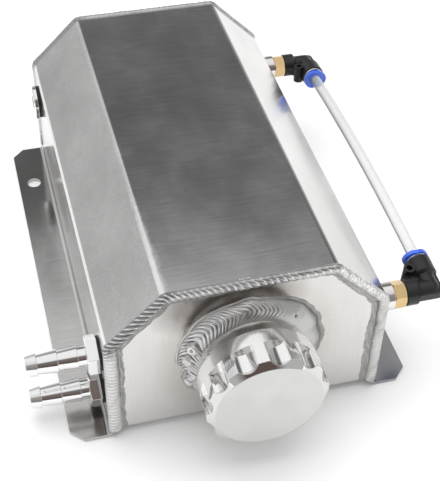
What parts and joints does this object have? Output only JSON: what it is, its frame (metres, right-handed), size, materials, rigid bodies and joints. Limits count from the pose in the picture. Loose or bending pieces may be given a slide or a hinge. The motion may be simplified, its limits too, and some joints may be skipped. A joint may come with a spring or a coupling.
{
  "type": "oil catch can",
  "caption": "Welded box oil catch can with mounting flanges, screw filler cap, side hose barbs, drain plug and a clear sight tube gauge.",
  "frame": {"origin": "centre of the four mounting holes, in the plane of the flange undersides", "axes": "+X towards the sight gauge, +Y from the filler cap to the far end, +Z away from the mounting face"},
  "size_m": [0.206, 0.264, 0.0925],
  "materials": {
    "brushed_sheet": "satin brushed",
    "weld_bead": "bright rippled weld",
    "turned_alloy": "fine turned",
    "cap_alloy": "polished, satin face",
    "polished_fitting": "mirror polished",
    "brass": "turned",
    "black_plastic": "moulded satin",
    "blue_plastic": "moulded gloss",
    "clear_tube": "clear extruded",
    "black_rubber": "moulded",
    "spring_steel": "plain"
  },
  "bodies": {
    "tank": {"body_wrap": "brushed_sheet", "floor_plate": "brushed_sheet", "front_plate": "brushed_sheet", "rear_plate": "brushed_sheet", "baffle": "brushed_sheet", "front_weld": "weld_bead", "rear_weld": "weld_bead", "floor_weld_left": "weld_bead", "floor_weld_right": "weld_bead", "neck_weld": "weld_bead", "filler_neck": "turned_alloy", "barb_bung_upper": "turned_alloy", "barb_washer_upper": "black_rubber", "hose_barb_upper": "polished_fitting", "barb_bung_lower": "turned_alloy", "barb_washer_lower": "black_rubber", "hose_barb_lower": "polished_fitting", "drain_bung": "turned_alloy", "drain_washer": "black_rubber", "drain_plug": "polished_fitting", "sight_bung_front": "turned_alloy", "sight_stem_front": "brass", "sight_elbow_front": "black_plastic", "tube_seal_front": "black_rubber", "grab_ring_front": "spring_steel", "sight_bung_rear": "turned_alloy", "sight_stem_rear": "brass", "sight_elbow_rear": "black_plastic", "tube_seal_rear": "black_rubber", "grab_ring_rear": "spring_steel", "sight_tube": "clear_tube"},
    "cap_travel_ring": {"cap_seal": "black_rubber"},
    "cap": {"filler_cap": "cap_alloy"},
    "front_collar": {"release_collar_front": "blue_plastic"},
    "rear_collar": {"release_collar_rear": "blue_plastic"}
  },
  "joints": [
    {"name": "cap_travel", "type": "slide", "parent": "tank", "child": "cap_travel_ring", "axis": [0, -1, 0], "range_m": [0, 0.01101]},
    {"name": "cap_turn", "type": "hinge", "parent": "cap_travel_ring", "child": "cap", "pos_m": [0, -0.13, 0.04575], "axis": [0, -1, 0], "range_deg": [0, 1980]},
    {"name": "front_collar_push", "type": "slide", "parent": "tank", "child": "front_collar", "axis": [0, -0.9969, -0.0785], "range_m": [0, 0.001], "stiffness_N_per_m": 500, "springref_m": -0.002},
    {"name": "rear_collar_push", "type": "slide", "parent": "tank", "child": "rear_collar", "axis": [0, 0.9969, -0.0785], "range_m": [0, 0.001], "stiffness_N_per_m": 500, "springref_m": -0.002}
  ],
  "couplings": [
    {"joint": "cap_travel", "follows": "cap_turn", "m_per_rad": 0.00031831}
  ]
}
